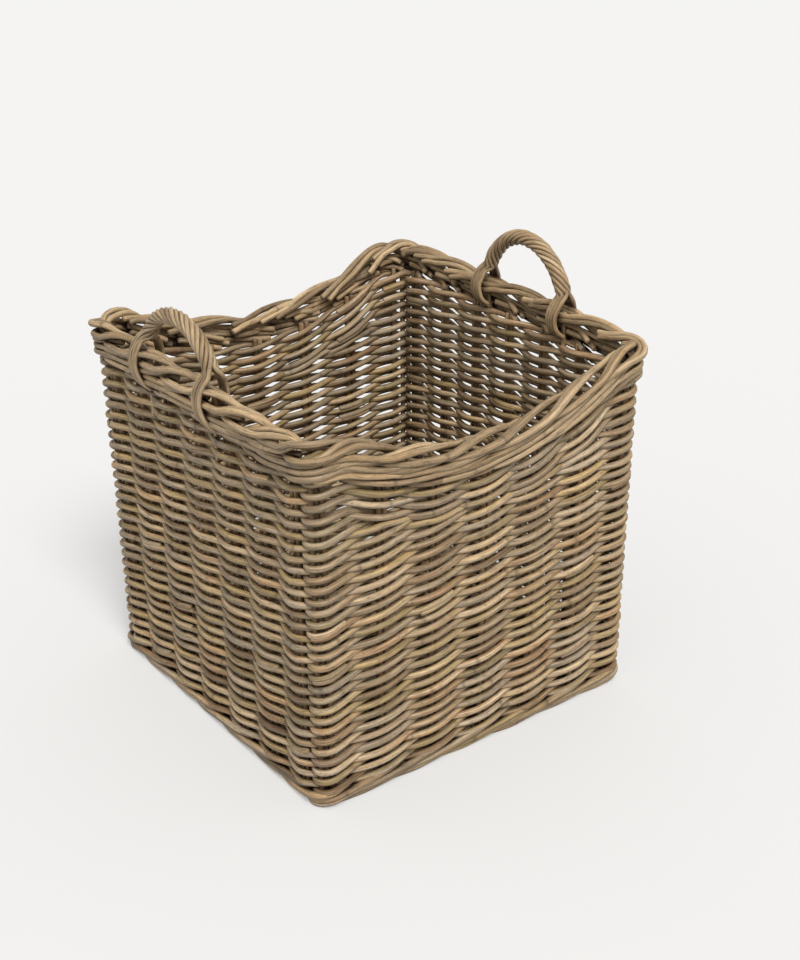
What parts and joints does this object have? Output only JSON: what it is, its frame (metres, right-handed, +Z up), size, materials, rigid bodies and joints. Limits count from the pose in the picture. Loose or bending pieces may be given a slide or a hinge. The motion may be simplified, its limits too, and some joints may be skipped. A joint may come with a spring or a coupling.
{
  "type": "log basket",
  "caption": "Square woven rattan log basket, open at the top, with two scooped walls and a rope-twisted handle on each of the other two.",
  "frame": {"origin": "on the floor under the middle of the basket's outside", "axes": "+Z up, X through the two handles, the scooped walls face -Y and +Y"},
  "size_m": [0.5164, 0.5048, 0.562],
  "materials": {
    "weavers": "matte, weathered",
    "stakes": "matte, weathered",
    "border_rods": "matte, weathered",
    "foot_rods": "matte, weathered",
    "base_sticks": "matte, weathered",
    "base_weavers": "matte, weathered",
    "handle_rods": "matte, weathered"
  },
  "bodies": {
    "root": {"base_sticks": "base_sticks", "base_weavers_lower": "base_weavers", "base_weavers_upper": "base_weavers", "border_back": "border_rods", "border_front": "border_rods", "border_left": "border_rods", "border_right": "border_rods", "foot_rod_inner": "foot_rods", "foot_rod_outer": "foot_rods", "handle_left_core": "handle_rods", "handle_left_rope": "handle_rods", "handle_right_core": "handle_rods", "handle_right_rope": "handle_rods", "lashing_left_a": "handle_rods", "lashing_left_b": "handle_rods", "lashing_right_a": "handle_rods", "lashing_right_b": "handle_rods", "packing_rows_left": "weavers", "packing_rows_right": "weavers", "rim_row_1": "weavers", "rim_row_2": "weavers", "rim_row_3": "weavers", "rim_row_4": "weavers", "stakes_back": "stakes", "stakes_front": "stakes", "stakes_left": "stakes", "stakes_right": "stakes", "weave_row_01": "weavers", "weave_row_02": "weavers", "weave_row_03": "weavers", "weave_row_04": "weavers", "weave_row_05": "weavers", "weave_row_06": "weavers", "weave_row_07": "weavers", "weave_row_08": "weavers", "weave_row_09": "weavers", "weave_row_10": "weavers", "weave_row_11": "weavers", "weave_row_12": "weavers", "weave_row_13": "weavers", "weave_row_14": "weavers", "weave_row_15": "weavers", "weave_row_16": "weavers", "weave_row_17": "weavers", "weave_row_18": "weavers", "weave_row_19": "weavers", "weave_row_20": "weavers", "weave_row_21": "weavers", "weave_row_22": "weavers"}
  },
  "joints": []
}
